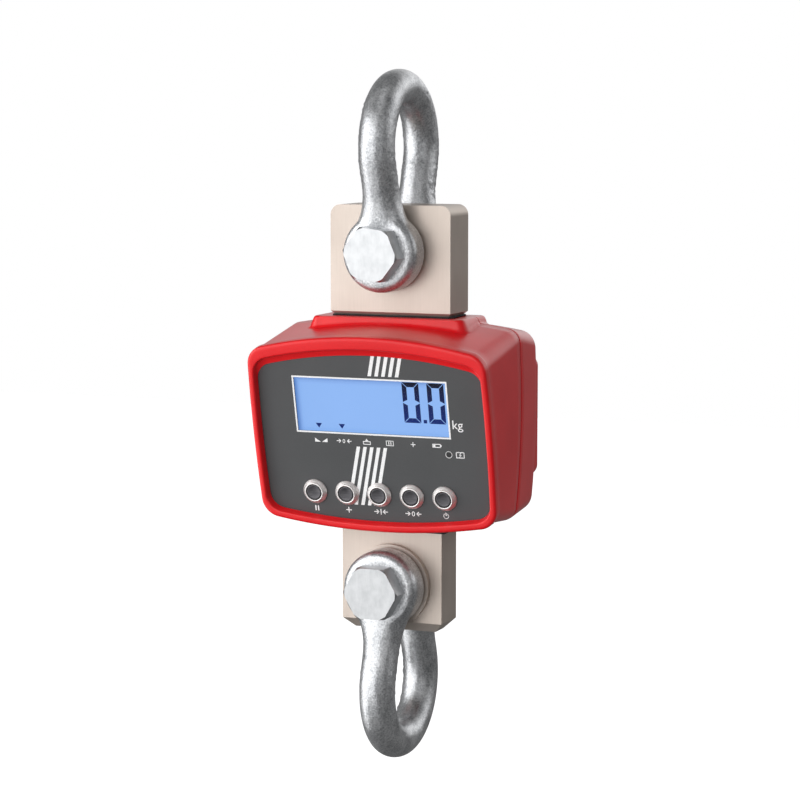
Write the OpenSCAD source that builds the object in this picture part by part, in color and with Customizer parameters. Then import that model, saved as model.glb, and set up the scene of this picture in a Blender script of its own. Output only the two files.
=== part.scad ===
// Crane scale with a bow shackle above and below, and a tilted display housing between them.
// Millimetres, +Z up, front towards -Y. The origin is the inside of the upper bow's crown.

/* [Shackles] */
// Diameter of the forged rod of each bow
rod_d = 22.3; // [20:0.1:23]
// Diameter of the shackle bolts
pin_d = 22; // [20:0.5:22]
// Bolt centre to the inside of the bow's crown
inside_length = 90.4; // [86:0.1:100]
// Distance between the leg centres where the bow is widest
bow_w = 73.6; // [70:0.1:78]
// Distance between the leg centres at the eyes
leg_gap = 55; // [54:0.1:56]
// Radius of the outward flare between eyes and crown
flare_r = 110; // [90:1:130]
// Clear width between the eyes
jaw_w = 33.5; // [33.5:0.1:34]
// Diameter of the eyes
eye_d = 49; // [46:0.5:52]
// Thickness of each eye
eye_w = 19.5; // [18:0.1:20]
// Hexagon size across flats, bolt head and nut
hex_af = 31.4; // [30:0.1:33]
// Height of the bolt head
head_h = 12.9; // [11:0.1:14]
// Height of the nut
nut_h = 12; // [10:0.5:14]
// Turn of the upper bolt head about its axis
upper_head_turn = 37.7; // [0:0.1:60]
// Turn of the lower bolt head about its axis
lower_head_turn = 30; // [0:0.1:60]

/* [Load cell] */
// Distance between the two shackle bolts
pin_spacing = 209; // [209:0.5:212]
// Width of the upper lug
lug_w = 80; // [78:0.5:84]
// Thickness of the upper lug
lug_t = 31; // [30:0.1:32]
// Upper bolt centre to the top of the upper lug
lug_rise = 29; // [27:0.5:31]
// Upper bolt centre to the underside of the upper lug
lug_drop = 39.4; // [39:0.1:41]
// Corner radius at the top of the upper lug
lug_corner = 6.5; // [4:0.5:8]
// Width of the neck and the lower lug
neck_w = 67; // [64:0.5:68]
// Thickness of the neck and the lower lug
neck_t = 25.6; // [24:0.1:26]
// Bevel round the end of the lower lug
tip_bevel = 6.3; // [4:0.1:8]

/* [Housing] */
// Half of the housing's width
half_w = 79.3; // [79:0.1:80]
// Forward lean of the front face, in degrees
panel_tilt = 12.75; // [12:0.25:14]
// Distance of the front face in front of the bolts, at mid height
panel_reach = 48.2; // [48:0.1:49]
// Depth of the grey panel behind the rim
panel_depth = 5; // [4.5:0.1:5.5]
// Thickness of the shell walls
wall = 3; // [2.5:0.1:3.5]
// Joint between the front and rear shells, behind the bolts
part_y = 5; // [4:0.5:6]
// Flat back of the rear shell
back_y = 42; // [42:0.5:44]
// Thickness of the gasket in the joint
gasket_t = 0.8; // [0.6:0.1:1]

/* [Panel] */
// Width of the display opening
display_w = 101.5; // [98:0.5:103]
// Height of the display opening
display_h = 35.8; // [34:0.1:37]
// Height of the display's centre on the panel
display_v = 16.2; // [15:0.1:17]
// Distance between push buttons
button_pitch = 21.6; // [20:0.1:22]
// Height of the button row on the panel
button_v = -41; // [-42:0.5:-40]
// Diameter of a button bezel's flange
bezel_d = 16; // [15:0.5:17]
// Diameter of a button cap
cap_d = 9.7; // [9:0.1:9.8]
// Travel of a push button
button_travel = 1; // [0.6:0.1:1.2]

/* [Battery] */
// Width of the battery cover
cover_w = 148; // [140:1:148]
// Height of the battery cover
cover_h = 77; // [76:0.5:78]
// Thickness of the battery cover
cover_t = 11.5; // [8:0.1:12]
// Diameter of a battery cell
cell_d = 22; // [20:0.5:22]

/* [Hidden] */
$fn = 64;
hull_fn = 40;

upper_pin_z = -inside_length;
lower_pin_z = upper_pin_z - pin_spacing;
ear_in = jaw_w / 2;
ear_out = ear_in + eye_w;
pin_r = pin_d / 2;
pin_fit = 0.07;
pin_slack = 0.15;
hex_r = hex_af / sqrt(3);
nut_face_r = hex_af / 2 - 0.6;
head_face_r = hex_r - 1.3;
bolt_end = ear_out + nut_h + 8.8;
split_y = ear_out + nut_h + 4.6;
split_r = 1.9;

bow_r = bow_w / 2;
crown_z = inside_length + rod_d / 2 - bow_r;
leg_y = leg_gap / 2;
flare_angle = acos((leg_y + flare_r) / (bow_r + flare_r));
flare_z = crown_z - (bow_r + flare_r) * sin(flare_angle);

lug_top = upper_pin_z + lug_rise;
lug_bottom = upper_pin_z - lug_drop;
lug_chamfer = 2;
tip_top = -322.6;
tip_bottom = tip_top - tip_bevel;
gauge_z = -196;
pocket_r = 13;
gauge_cover_r = 15;
gauge_cover_t = 1.2;
web_half = 4.8;
cable_y = -8.5;
cable_r = 2;

panel_z = -200.5;
boss_top = lug_bottom - 1;
rim_t = 7;
panel_t = 2;
panel_gap = 0.2;
ledge_w = panel_depth + panel_t;
ledge_t = 2.5;
rear_y = part_y + gasket_t;
corner_r = 12.5;
side_bulge_r = 1160;
joint_bulge_r = 700;
top_bulge_r = 295;
joint_top_r = 420;
bottom_bulge_r = 390;
rim_top = 61.9;
rim_bottom = -64.4;
opening_top = 54;
opening_bottom = -59.6;
joint_z = -184.5;
joint_top = -131.4;
joint_bottom = -263.3;
boss_foot_z = -143;
boss_foot_x = 55.5;
boss_top_x = 50;

window_w = ledge_w;
window_t = 1.5;
lcd_w = window_w + window_t;
lcd_t = 4;
light_w = lcd_w + lcd_t;
light_t = 3.5;
board_w = light_w + light_t;
board_t = 1.6;
main_w = board_w + board_t + 8.4;
stud_x = 56;
stud_v = [-12, 38];
led_u = 49;
led_v = -12.2;
button_u = [for (k = [-2 : 2]) 0.7 + k * button_pitch];

screw_x = 62;
screw_z = [-149.5, -246];
bracket_x = 44;
bracket_z = [-150, -238];
bracket_y = 9;

cover_z = -196;
cover_y = back_y + gasket_t;
tray_w = 104;
tray_h = 62;
tray_y = 16.5;
cover_screw_x = 67;
cover_screw_dz = 33;
socket_x = 45;
socket_y = 24;
socket_face = -263.4;

red = [0.83, 0.09, 0.09];
zinc = [0.62, 0.64, 0.65];
nickel = [0.80, 0.75, 0.69];
grey = [0.30, 0.30, 0.31];
steel = [0.75, 0.76, 0.78];
black = [0.07, 0.07, 0.08];
board_green = [0.05, 0.32, 0.18];

// ---- frames and plain shapes ----

// Local Z becomes +Y
module along_y() {
    rotate([-90, 0, 0]) children();
}

// Local X becomes +Y and local Y becomes +Z
module side_on() {
    rotate([90, 0, 90]) children();
}

// The front face's frame: X across, Z up the face, Y inwards from the rim
module on_panel() {
    translate([0, -panel_reach, panel_z]) rotate([panel_tilt, 0, 0]) children();
}

// A flat outline in X and Z, solid from y0 to y1
module slab(y0, y1) {
    translate([0, y1, 0]) rotate([90, 0, 0]) linear_extrude(y1 - y0) children();
}

module rod_y(r, y0, y1) {
    translate([0, y0, 0]) along_y() cylinder(r = r, h = y1 - y0);
}

module rounded_rect(w, h, r) {
    square([w - 2 * r, h], center = true);
    square([w, h - 2 * r], center = true);
    for (sx = [-1, 1], sz = [-1, 1])
        translate([sx * (w / 2 - r), sz * (h / 2 - r)]) circle(r = r);
}

// Four bulging sides, each an arc of its own radius, with round corners
module barrel(hw, side_r, side_z, top, top_r, bottom, bottom_r, corner) {
    offset(r = corner, $fn = hull_fn) offset(delta = -corner) intersection() {
        translate([0, top - top_r]) circle(r = top_r, $fn = round(top_r * 0.9));
        translate([0, bottom + bottom_r]) circle(r = bottom_r, $fn = round(bottom_r * 0.9));
        translate([hw - side_r, side_z]) circle(r = side_r, $fn = round(side_r * 0.6));
        translate([side_r - hw, side_z]) circle(r = side_r, $fn = round(side_r * 0.6));
    }
}

module front_outline(inset) {
    offset(delta = -inset) barrel(
        half_w, side_bulge_r, 0, rim_top, top_bulge_r, rim_bottom, bottom_bulge_r, corner_r);
}

module opening_outline() {
    barrel(half_w - 4, side_bulge_r, 0, opening_top, top_bulge_r, opening_bottom, bottom_bulge_r,
        corner_r - 1.5);
}

module panel_outline(inset) {
    offset(delta = -inset) barrel(
        half_w - 4.7, side_bulge_r, 0, opening_top - 4.6, top_bulge_r, opening_bottom + 0.8,
        bottom_bulge_r, corner_r - 2);
}

// back runs from 0 at the joint to 1 at the rear, where the top is lower and the corners rounder
module parting_outline(inset, back = 0) {
    offset(delta = -inset)
        barrel(half_w, joint_bulge_r, joint_z, joint_top - 2.2 * back, joint_top_r, joint_bottom,
            bottom_bulge_r, corner_r - 3 + 4 * back);
}

module boss_outline() {
    polygon([
        [-boss_foot_x, boss_foot_z], [-boss_top_x, boss_top], [boss_top_x, boss_top],
        [boss_foot_x, boss_foot_z]
    ]);
}

// A hexagon bar along Y with its outer end turned round
module hex_bar(y0, y1, chamfer_y0, chamfer_y1, face_r = nut_face_r) {
    edge = hex_r - hex_af / 2;
    intersection() {
        translate([0, y0, 0]) along_y() rotate([0, 0, 30]) cylinder(r = hex_r, h = y1 - y0, $fn = 6);
        translate([0, y0, 0]) along_y() rotate_extrude() polygon([
            [0, 0], [chamfer_y0 ? face_r : hex_r + 1, 0], [hex_r + 1, chamfer_y0 ? edge : 0.01],
            [hex_r + 1, y1 - y0 - (chamfer_y1 ? edge : 0.01)],
            [chamfer_y1 ? face_r : hex_r + 1, y1 - y0], [0, y1 - y0]
        ]);
    }
}

// ---- shackles, drawn about the bolt's centre with the bow upwards ----

module eye() {
    round_r = 5;
    along_y() rotate_extrude() difference() {
        union() {
            square([eye_d / 2 - round_r, eye_w]);
            translate([0, round_r]) square([eye_d / 2, eye_w - 2 * round_r]);
            for (h = [round_r, eye_w - round_r])
                translate([eye_d / 2 - round_r, h]) circle(r = round_r);
        }
        square([pin_r + pin_slack, eye_w]);
    }
}

// The leg is a hair thinner than the crown and starts a little inside it
module bow_leg() {
    overlap = 0.4;
    side_on() translate([leg_y + flare_r, flare_z, 0]) rotate([0, 0, 180 - flare_angle - overlap])
        rotate_extrude(angle = flare_angle + overlap) translate([flare_r, 0]) circle(d = rod_d - 0.12);
}

module bow() {
    difference() {
        union() {
            side_on() translate([0, crown_z, 0]) rotate([0, 0, -flare_angle])
                rotate_extrude(angle = 180 + 2 * flare_angle) translate([bow_r, 0]) circle(d = rod_d);
            bow_leg();
            mirror([0, 1, 0]) bow_leg();
        }
        translate([-eye_d, -ear_in, -eye_d]) cube([2 * eye_d, jaw_w, eye_d + 40]);
        for (y0 = [-ear_out - 20, ear_out]) rod_y(eye_d / 2 - 2, y0, y0 + 20);
        rod_y(pin_r + 2, -60, 60);
    }
    translate([0, ear_in, 0]) eye();
    translate([0, -ear_out, 0]) eye();
}

module bolt(head_turn) {
    rotate([0, head_turn, 0]) hex_bar(-ear_out - head_h, -ear_out, true, false, head_face_r);
    difference() {
        rod_y(pin_r, -ear_out - 3, bolt_end);
        translate([0, split_y, -20]) cylinder(r = split_r + 0.2, h = 40);
    }
}

module nut() {
    difference() {
        hex_bar(ear_out, ear_out + nut_h, false, true);
        rod_y(pin_r + pin_slack, ear_out - 1, ear_out + nut_h + 1);
    }
}

// Two half-round legs read as one pin, with a loop above and spread ends below
module split_pin() {
    loop_r = 4;
    translate([0, split_y, 0]) {
        translate([0, 0, -14]) cylinder(r = split_r, h = 28);
        translate([0, 0, 14 + loop_r]) side_on() rotate_extrude()
            translate([loop_r, 0]) circle(r = 1.2);
        for (s = [-1, 1]) translate([0, 0, -13.6]) rotate([0, s * 38, 0])
            translate([0, 0, -7]) cylinder(r = 0.95, h = 7);
    }
}

module upper_bow() {
    color(zinc) translate([0, 0, upper_pin_z]) bow();
}

module upper_bolt() {
    color(steel) translate([0, 0, upper_pin_z]) bolt(upper_head_turn);
}

module upper_nut() {
    color(steel) translate([0, 0, upper_pin_z]) nut();
}

module upper_split_pin() {
    color(steel) translate([0, 0, upper_pin_z]) split_pin();
}

module lower_bow() {
    color(zinc) translate([0, 0, lower_pin_z]) rotate([180, 0, 0]) bow();
}

module lower_bolt() {
    color(steel) translate([0, 0, lower_pin_z]) bolt(lower_head_turn);
}

module lower_nut() {
    color(steel) translate([0, 0, lower_pin_z]) nut();
}

module lower_split_pin() {
    color(steel) translate([0, 0, lower_pin_z]) split_pin();
}

// Loose rings that fill the jaw beside the thinner lower lug
module lower_spacers() {
    gap = 0.3;
    color(steel) for (s = [-1, 1]) translate([0, 0, lower_pin_z]) difference() {
        rod_y(26, min(s * (neck_t / 2 + gap), s * (ear_in - 0.1)),
              max(s * (neck_t / 2 + gap), s * (ear_in - 0.1)));
        rod_y(pin_r + pin_slack, -ear_in, ear_in);
    }
}

// ---- load cell ----

module cell_front() {
    slab(-lug_w, lug_w) {
        translate([0, (lug_top + lug_bottom + lug_chamfer) / 2])
            rounded_rect(lug_w, lug_top - lug_bottom - lug_chamfer, lug_corner);
        polygon([
            [-lug_w / 2, lug_bottom + 12], [-lug_w / 2, lug_bottom + lug_chamfer],
            [-lug_w / 2 + lug_chamfer, lug_bottom], [-neck_w / 2, lug_bottom],
            [-neck_w / 2, tip_top], [-neck_w / 2 + tip_bevel, tip_bottom],
            [neck_w / 2 - tip_bevel, tip_bottom], [neck_w / 2, tip_top],
            [neck_w / 2, lug_bottom], [lug_w / 2 - lug_chamfer, lug_bottom],
            [lug_w / 2, lug_bottom + lug_chamfer], [lug_w / 2, lug_bottom + 12]
        ]);
    }
}

module cell_side() {
    side_on() translate([0, 0, -lug_w]) linear_extrude(2 * lug_w) polygon([
        [-lug_t / 2, lug_top], [-lug_t / 2, lug_bottom + lug_chamfer],
        [-lug_t / 2 + lug_chamfer, lug_bottom], [-neck_t / 2, lug_bottom],
        [-neck_t / 2, tip_top], [-neck_t / 2 + tip_bevel, tip_bottom],
        [neck_t / 2 - tip_bevel, tip_bottom], [neck_t / 2, tip_top],
        [neck_t / 2, lug_bottom], [lug_t / 2 - lug_chamfer, lug_bottom],
        [lug_t / 2, lug_bottom + lug_chamfer], [lug_t / 2, lug_top]
    ]);
}

module load_cell() {
    color(nickel) difference() {
        intersection() {
            cell_front();
            cell_side();
        }
        for (z = [upper_pin_z, lower_pin_z])
            translate([0, 0, z]) rod_y(pin_r + pin_fit, -lug_t, lug_t);
        translate([0, 0, gauge_z]) {
            for (s = [-1, 1]) {
                rod_y(pocket_r, s > 0 ? web_half : -lug_t, s > 0 ? lug_t : -web_half);
                rod_y(gauge_cover_r + 0.1, s > 0 ? neck_t / 2 - gauge_cover_t : -lug_t,
                      s > 0 ? lug_t : -neck_t / 2 + gauge_cover_t);
            }
            translate([-neck_w, cable_y, 0]) rotate([0, 90, 0]) cylinder(r = cable_r + 0.2, h = neck_w - 8);
        }
        for (z = bracket_z, s = [-1, 1])
            translate([s * (neck_w / 2 - 8), 0, z]) rotate([0, s * 90, 0]) cylinder(r = 2.05, h = 20);
    }
}

module strain_gauges() {
    color("goldenrod") for (sx = [-1, 1], sy = [-1, 1])
        translate([sx * 6 - 3, sy > 0 ? web_half : -web_half - 0.5, gauge_z - 5]) cube([6, 0.5, 10]);
}

module gauge_covers() {
    color(steel) translate([0, 0, gauge_z]) for (y0 = [-neck_t / 2, neck_t / 2 - gauge_cover_t])
        rod_y(gauge_cover_r, y0, y0 + gauge_cover_t);
}

module cable_gland() {
    color(steel) translate([-neck_w / 2 - 7, cable_y, gauge_z]) rotate([0, 90, 0]) difference() {
        union() {
            cylinder(r = 4, h = 7);
            translate([0, 0, 3]) cylinder(r = 5, h = 4, $fn = 6);
        }
        translate([0, 0, -1]) cylinder(r = cable_r + 0.2, h = 9);
    }
}

// Four-core lead from the gauge pocket to the main board
module load_cell_cable() {
    bend_r = 8;
    bend_x = -42;
    color(black) {
        translate([bend_x, cable_y, gauge_z]) rotate([0, 90, 0]) cylinder(r = cable_r, h = bend_r + 20);
        translate([bend_x, cable_y - bend_r, gauge_z]) rotate([0, 0, 90])
            rotate_extrude(angle = 90) translate([bend_r, 0]) circle(r = cable_r);
        translate([bend_x - bend_r, 0, gauge_z]) rod_y(cable_r, -17, cable_y - bend_r);
    }
}

// ---- housing ----

module front_housing() {
    color(red) difference() {
        union() {
            hull() {
                on_panel() slab(rim_t, rim_t + 0.5) front_outline(0.9);
                slab(part_y - 1, part_y) parting_outline(0);
            }
            hull() {
                on_panel() slab(0, 0.4) front_outline(1);
                on_panel() slab(1.2, rim_t + 0.2) front_outline(0);
            }
            slab(-22, part_y) boss_outline();
        }
        difference() {
            hull() {
                on_panel() slab(ledge_w + ledge_t, ledge_w + ledge_t + 0.5) front_outline(4);
                slab(part_y, part_y + 1) parting_outline(wall);
            }
            for (x = [-screw_x, screw_x], z = screw_z) translate([x, 0, z]) {
                rod_y(4.8, -14, part_y + 2);
                slab(-14, part_y + 2) translate([0, z == screw_z[0] ? 10 : -10]) square([3, 20], center = true);
            }
        }
        hull() {
            on_panel() slab(-0.5, 0) opening_outline();
            on_panel() slab(panel_depth - 0.1, panel_depth) panel_outline(-2.5 * panel_gap);
        }
        on_panel() slab(panel_depth - panel_gap, ledge_w) panel_outline(-panel_gap);
        on_panel() slab(ledge_w - 1, ledge_w + ledge_t + 1)
            translate([0, -5]) rounded_rect(2 * half_w - 22, 98, 8);
        translate([-neck_w / 2 - 0.4, -neck_t / 2 - 0.4, -145]) cube([neck_w + 0.8, neck_t + 0.8, 20]);
        translate([-neck_w / 2 - 3, -neck_t / 2 - 3, -270]) cube([neck_w + 6, neck_t + 6, 20]);
        for (x = [-screw_x, screw_x], z = screw_z) translate([x, 0, z]) rod_y(2.05, -13, part_y + 1);
    }
}

module rear_housing() {
    edge_r = 4;
    draft = 1.8;
    edge_y = back_y - edge_r;
    color(red) difference() {
        union() {
            hull() {
                slab(rear_y, rear_y + 0.5) parting_outline(0);
                for (a = [0, 30, 60, 90]) slab(edge_y + edge_r * sin(a) - 0.1, edge_y + edge_r * sin(a))
                    parting_outline(draft + edge_r * (1 - cos(a)), 1);
            }
            slab(rear_y, 22) boss_outline();
            translate([socket_x, socket_y, socket_face + 2]) cylinder(r = 10, h = 10);
        }
        difference() {
            hull() {
                slab(rear_y - 1, rear_y) parting_outline(wall);
                slab(edge_y - 1, edge_y) parting_outline(draft + wall, 1);
                slab(back_y - wall - 0.1, back_y - wall) parting_outline(draft + wall + edge_r, 1);
            }
            for (x = [-screw_x, screw_x], z = screw_z) translate([x, 0, z]) rod_y(4.8, rear_y, back_y);
            for (x = [-bracket_x, bracket_x], z = bracket_z)
                translate([x, 0, z]) rod_y(4, bracket_y + 3, back_y);
            translate([socket_x, socket_y, socket_face + 2]) cylinder(r = 10, h = 10);
        }
        slab(back_y - wall - 2, back_y + 1) translate([0, cover_z]) square([tray_w + 0.6, tray_h + 0.6], center = true);
        translate([-neck_w / 2 - 0.4, -neck_t / 2 - 0.4, -145]) cube([neck_w + 0.8, neck_t + 0.8, 20]);
        translate([-neck_w / 2 - 3, -neck_t / 2 - 3, -270]) cube([neck_w + 6, neck_t + 6, 20]);
        for (x = [-screw_x, screw_x], z = screw_z) translate([x, 0, z]) {
            rod_y(2.2, rear_y - 1, back_y + 1);
            rod_y(4, back_y - 3.4, back_y + 1);
        }
        for (x = [-bracket_x, bracket_x], z = bracket_z)
            translate([x, 0, z]) rod_y(2.05, bracket_y + 2, bracket_y + 16);
        for (x = [-cover_screw_x, cover_screw_x], s = [-1, 1])
            translate([x, 0, cover_z + s * cover_screw_dz]) rod_y(1.6, back_y - wall - 1, back_y + 1);
        translate([socket_x, socket_y, socket_face]) cylinder(r = 7.1, h = 20);
    }
}

module housing_gasket() {
    color(black) difference() {
        union() {
            slab(part_y, rear_y) parting_outline(0.7);
            slab(part_y, rear_y)
                polygon([
                    [1 - boss_foot_x, boss_foot_z], [0.6 - boss_top_x, boss_top - 0.7],
                    [boss_top_x - 0.6, boss_top - 0.7], [boss_foot_x - 1, boss_foot_z]
                ]);
        }
        slab(part_y - 1, rear_y + 1) parting_outline(wall);
        translate([-neck_w / 2 - 1, -neck_t, -145]) cube([neck_w + 2, 2 * neck_t, 20]);
        translate([-neck_w / 2 - 3.5, -neck_t, -270]) cube([neck_w + 7, 2 * neck_t, 20]);
    }
}

module housing_screws() {
    color(steel) for (x = [-screw_x, screw_x], z = screw_z) translate([x, 0, z]) difference() {
        union() {
            rod_y(2, -12, back_y - 3.4);
            rod_y(3.6, back_y - 3.4, back_y - 0.4);
        }
        translate([0, back_y - 2, 0]) along_y() cylinder(r = 1.7, h = 3, $fn = 6);
    }
}

// Flat gasket between the upper lug and the housing's boss
module upper_lug_seal() {
    color(black) translate([0, 0, boss_top]) linear_extrude(lug_bottom - boss_top) difference() {
        square([lug_w - 2, lug_t - 2], center = true);
        square([neck_w + 0.4, neck_t + 0.4], center = true);
    }
}

// Grommet where the neck leaves the housing
module lower_lug_seal() {
    color(black) translate([0, 0, -264.9]) linear_extrude(8.9) difference() {
        square([neck_w + 5.4, neck_t + 5.4], center = true);
        square([neck_w + 0.4, neck_t + 0.4], center = true);
    }
}

module mounting_brackets() {
    color(steel) for (s = [-1, 1], z = bracket_z) translate([0, 0, z]) difference() {
        translate([0, 0, -6]) linear_extrude(12) polygon([
            [s * neck_w / 2, -7], [s * (neck_w / 2 + 3), -7], [s * (neck_w / 2 + 3), bracket_y],
            [s * 51, bracket_y], [s * 51, bracket_y + 3], [s * neck_w / 2, bracket_y + 3]
        ]);
        translate([s * bracket_x, 0, 0]) rod_y(2.2, bracket_y - 1, bracket_y + 4);
        translate([s * (neck_w / 2 - 1), 0, 0]) rotate([0, s * 90, 0]) cylinder(r = 2.2, h = 6);
    }
}

module bracket_screw() {
    cylinder(r = 2, h = 10);
    translate([0, 0, 10]) difference() {
        cylinder(r = 3.5, h = 3);
        translate([0, 0, 1.4]) cylinder(r = 1.7, h = 3, $fn = 6);
    }
}

module bracket_screws() {
    color(steel) for (s = [-1, 1], z = bracket_z) {
        translate([s * (neck_w / 2 - 7), 0, z]) rotate([0, s * 90, 0]) bracket_screw();
        translate([s * bracket_x, bracket_y + 10, z]) rotate([90, 0, 0]) bracket_screw();
    }
}

// ---- front panel and display ----

module front_panel() {
    color(grey) difference() {
        on_panel() slab(panel_depth, ledge_w) difference() {
            panel_outline(0);
            translate([0, display_v]) square([display_w, display_h], center = true);
        }
        on_panel() for (u = button_u) translate([u, 0, button_v]) rod_y(6.1, 0, 20);
        on_panel() translate([led_u, 0, led_v]) rod_y(1.5, 0, 20);
    }
}

module panel_studs() {
    color(steel) on_panel() for (u = [-stud_x, stud_x], v = stud_v)
        translate([u, 0, v]) rod_y(1.5, ledge_w, main_w + board_t + 3.5);
}

module display_window() {
    color([0.8, 0.9, 1, 0.3]) on_panel() slab(window_w, window_w + window_t)
        translate([0, display_v]) rounded_rect(display_w + 5, display_h + 5, 1.5);
}

module lcd_module() {
    color([0.55, 0.72, 0.96]) on_panel() slab(lcd_w, lcd_w + lcd_t)
        translate([0, display_v]) rounded_rect(display_w + 5, display_h + 5, 1.5);
}

module backlight() {
    color("white") on_panel() slab(light_w, light_w + light_t)
        translate([0, display_v]) rounded_rect(display_w + 3, display_h + 3, 1);
}

module board(w, v0, v1) {
    color(board_green) on_panel() difference() {
        slab(w, w + board_t) translate([-60, v0]) square([120, v1 - v0]);
        for (u = [-stud_x, stud_x], v = stud_v) translate([u, 0, v]) rod_y(1.7, w - 1, w + board_t + 1);
    }
}

module display_board() {
    board(board_w, -17, 43);
}

module main_board() {
    board(main_w, -17, 43);
}

module board_spacers() {
    color(steel) on_panel() for (u = [-stud_x, stud_x], v = stud_v) translate([u, 0, v])
        for (span = [[ledge_w, board_w], [board_w + board_t, main_w]]) difference() {
            rod_y(2.6, span[0], span[1]);
            rod_y(1.7, span[0] - 1, span[1] + 1);
        }
}

module board_nuts() {
    color(steel) on_panel() for (u = [-stud_x, stud_x], v = stud_v) translate([u, main_w + board_t, v])
        along_y() difference() {
            cylinder(r = 3.1, h = 2.4, $fn = 6);
            translate([0, 0, -1]) cylinder(r = 1.6, h = 5);
        }
}

// Controller, converter and the plug connectors on the back of the main board
module board_parts() {
    w0 = main_w + board_t;
    color(black) on_panel() {
        slab(w0, w0 + 1.6) translate([-6, 18]) square([14, 14]);
        slab(w0, w0 + 1.4) translate([-30, 12]) square([10, 6]);
        slab(w0, w0 + 1.8) translate([18, 20]) square([8, 12]);
        slab(w0, w0 + 3.4) translate([-56, -6]) square([12, 9]);
        slab(w0, w0 + 3.4) translate([40, 0]) square([10, 8]);
    }
}

module board_ribbon() {
    color("lightgrey") on_panel() slab(board_w + board_t, main_w) translate([-12, 39]) square([24, 0.8]);
}

module status_light() {
    color(black) on_panel() translate([led_u, 0, led_v]) rod_y(1.4, panel_depth, board_w);
}

// ---- push buttons ----

module button_at(k) {
    on_panel() translate([button_u[k], panel_depth, button_v]) along_y() children();
}

// Flange, cone and threaded barrel, turned from stainless bar
module button_bezels() {
    flange_r = bezel_d / 2;
    color(steel) for (k = [0 : 4]) button_at(k) rotate_extrude() polygon([
        [cap_d / 2 + 0.2, -3], [6.1, -3], [flange_r - 0.2, -0.9], [flange_r, -0.5], [flange_r, 0],
        [6, 0], [6, 11], [cap_d / 2 + 0.2, 11]
    ]);
}

module button_nuts() {
    color(steel) for (k = [0 : 4]) button_at(k) difference() {
        translate([0, 0, panel_t]) cylinder(r = 8.8, h = 2.5, $fn = 6);
        cylinder(r = 6.1, h = 9);
    }
}

module button_switches() {
    color(black) for (k = [0 : 4]) button_at(k) {
        translate([0, 0, 3.6]) cylinder(r = cap_d / 2 - 0.1, h = 7.4);
        translate([0, 0, 11]) cylinder(r = 6, h = 5);
        for (x = [-3, 3]) translate([x - 0.4, -1.4, 16]) cube([0.8, 2.8, 4]);
    }
}

module button_cap(k) {
    color(steel) button_at(k) rotate_extrude() polygon([
        [0, -2.7], [cap_d / 2 - 0.5, -2.7], [cap_d / 2, -2.3], [cap_d / 2, -0.7],
        [2.2, -0.7], [2.2, 3.5 - button_travel], [0, 3.5 - button_travel]
    ]);
}

module hold_button() {
    button_cap(0);
}

module memory_button() {
    button_cap(1);
}

module tare_button() {
    button_cap(2);
}

module zero_button() {
    button_cap(3);
}

module power_button() {
    button_cap(4);
}

// ---- battery and charging ----

module battery_tray() {
    color(black) difference() {
        union() {
            slab(tray_y, back_y) translate([0, cover_z]) square([tray_w, tray_h], center = true);
            slab(back_y, back_y + 1.2) translate([0, cover_z]) square([tray_w + 8, tray_h + 4], center = true);
        }
        slab(tray_y + 2, back_y + 2) translate([0, cover_z]) square([tray_w - 4, tray_h - 4], center = true);
    }
}

module battery_cells() {
    pitch = cell_d + 0.6;
    color([0.2, 0.35, 0.6]) for (k = [-1.5 : 1 : 1.5])
        translate([k * pitch, tray_y + 2.4 + cell_d / 2, cover_z - 26]) {
            cylinder(d = cell_d, h = 50);
            translate([0, 0, 50]) cylinder(r = 3.5, h = 1.6);
        }
}

module battery_lead() {
    color(black) translate([45, 0, -190]) rod_y(1.8, -17.5, tray_y);
}

module battery_cover() {
    color(red) difference() {
        hull() {
            slab(cover_y, cover_y + cover_t - 3) translate([0, cover_z]) rounded_rect(cover_w, cover_h, 7);
            slab(cover_y + cover_t - 1, cover_y + cover_t - 0.9)
                translate([0, cover_z]) rounded_rect(cover_w - 2, cover_h - 2, 6);
            slab(cover_y + cover_t - 0.1, cover_y + cover_t)
                translate([0, cover_z]) rounded_rect(cover_w - 6, cover_h - 6, 4);
        }
        slab(cover_y - 1, cover_y + cover_t - 2.5) translate([0, cover_z])
            square([tray_w + 20, tray_h + 7], center = true);
        for (x = [-cover_screw_x, cover_screw_x], s = [-1, 1])
            translate([x, 0, cover_z + s * cover_screw_dz]) {
                rod_y(1.7, cover_y - 1, cover_y + cover_t + 1);
                rod_y(3, cover_y + cover_t - 2.4, cover_y + cover_t + 1);
            }
    }
}

module battery_cover_seal() {
    color(black) difference() {
        slab(back_y, cover_y) translate([0, cover_z]) difference() {
            rounded_rect(cover_w - 2, cover_h - 2, 6);
            square([tray_w + 20, tray_h + 7], center = true);
        }
        for (x = [-cover_screw_x, cover_screw_x], s = [-1, 1])
            translate([x, 0, cover_z + s * cover_screw_dz]) rod_y(1.7, back_y - 1, cover_y + 1);
    }
}

module battery_cover_screws() {
    color(steel) for (x = [-cover_screw_x, cover_screw_x], s = [-1, 1])
        translate([x, 0, cover_z + s * cover_screw_dz]) difference() {
            union() {
                rod_y(1.5, back_y - wall - 2, cover_y + cover_t - 2.4);
                rod_y(2.8, cover_y + cover_t - 2.4, cover_y + cover_t - 0.3);
            }
            translate([0, cover_y + cover_t - 1.5, 0]) along_y() cylinder(r = 1.3, h = 3, $fn = 6);
        }
}

// Round receptacle under the rear shell, with flat contacts at the bottom of its well
module charging_socket() {
    color(black) translate([socket_x, socket_y, socket_face]) difference() {
        union() {
            cylinder(r = 9, h = 2);
            cylinder(r = 7, h = 17);
        }
        translate([0, 0, -1]) cylinder(r = 4, h = 7);
    }
}

module charging_socket_nut() {
    color(steel) translate([socket_x, socket_y, socket_face + 12]) difference() {
        cylinder(r = 10, h = 2.6, $fn = 6);
        translate([0, 0, -1]) cylinder(r = 7.1, h = 5);
    }
}

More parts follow.
